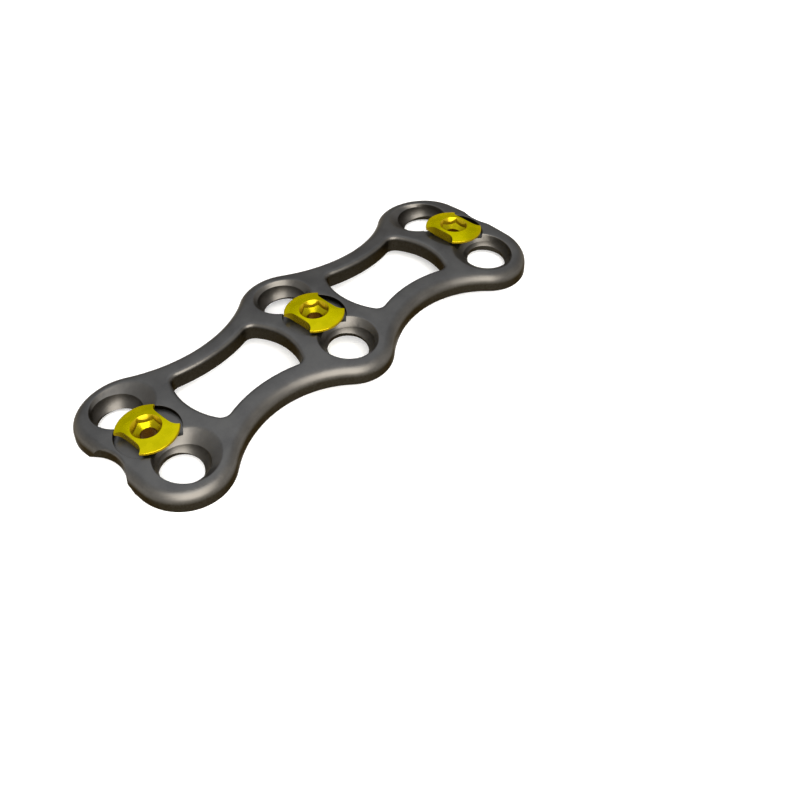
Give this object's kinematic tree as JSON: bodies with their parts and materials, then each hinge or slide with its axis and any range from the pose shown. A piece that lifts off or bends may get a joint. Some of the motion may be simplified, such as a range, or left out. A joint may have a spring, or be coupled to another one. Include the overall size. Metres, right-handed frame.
{
  "type": "bone plate",
  "caption": "Arched cervical bone plate with paired screw holes, two graft windows, end notches and turning gold lock cams between the holes.",
  "frame": {"origin": "on the surface that the plate stands on, under its middle", "axes": "+X along the plate through its rows of screw holes, +Y across it, +Z from the bone side to the top face with the lock cams"},
  "size_m": [0.0488, 0.0176, 0.004],
  "materials": {
    "grey_titanium": "dark grey blasted titanium, satin",
    "gold_titanium": "gold anodised titanium, semi-gloss"
  },
  "bodies": {
    "plate": {"bone_plate": "grey_titanium"},
    "left_cam": {"left_lock_cam": "gold_titanium"},
    "middle_cam": {"middle_lock_cam": "gold_titanium"},
    "right_cam": {"right_lock_cam": "gold_titanium"}
  },
  "joints": [
    {"name": "left_cam_turn", "type": "hinge", "parent": "plate", "child": "left_cam", "pos_m": [-0.02015, 0, 0.00262], "axis": [-0.0806, 0, 0.9967], "range_deg": [0, 90]},
    {"name": "middle_cam_turn", "type": "hinge", "parent": "plate", "child": "middle_cam", "pos_m": [0, 0, 0.00343], "axis": [0, 0, 1], "range_deg": [0, 90]},
    {"name": "right_cam_turn", "type": "hinge", "parent": "plate", "child": "right_cam", "pos_m": [0.02015, 0, 0.00262], "axis": [0.0806, 0, 0.9967], "range_deg": [0, 90]}
  ]
}
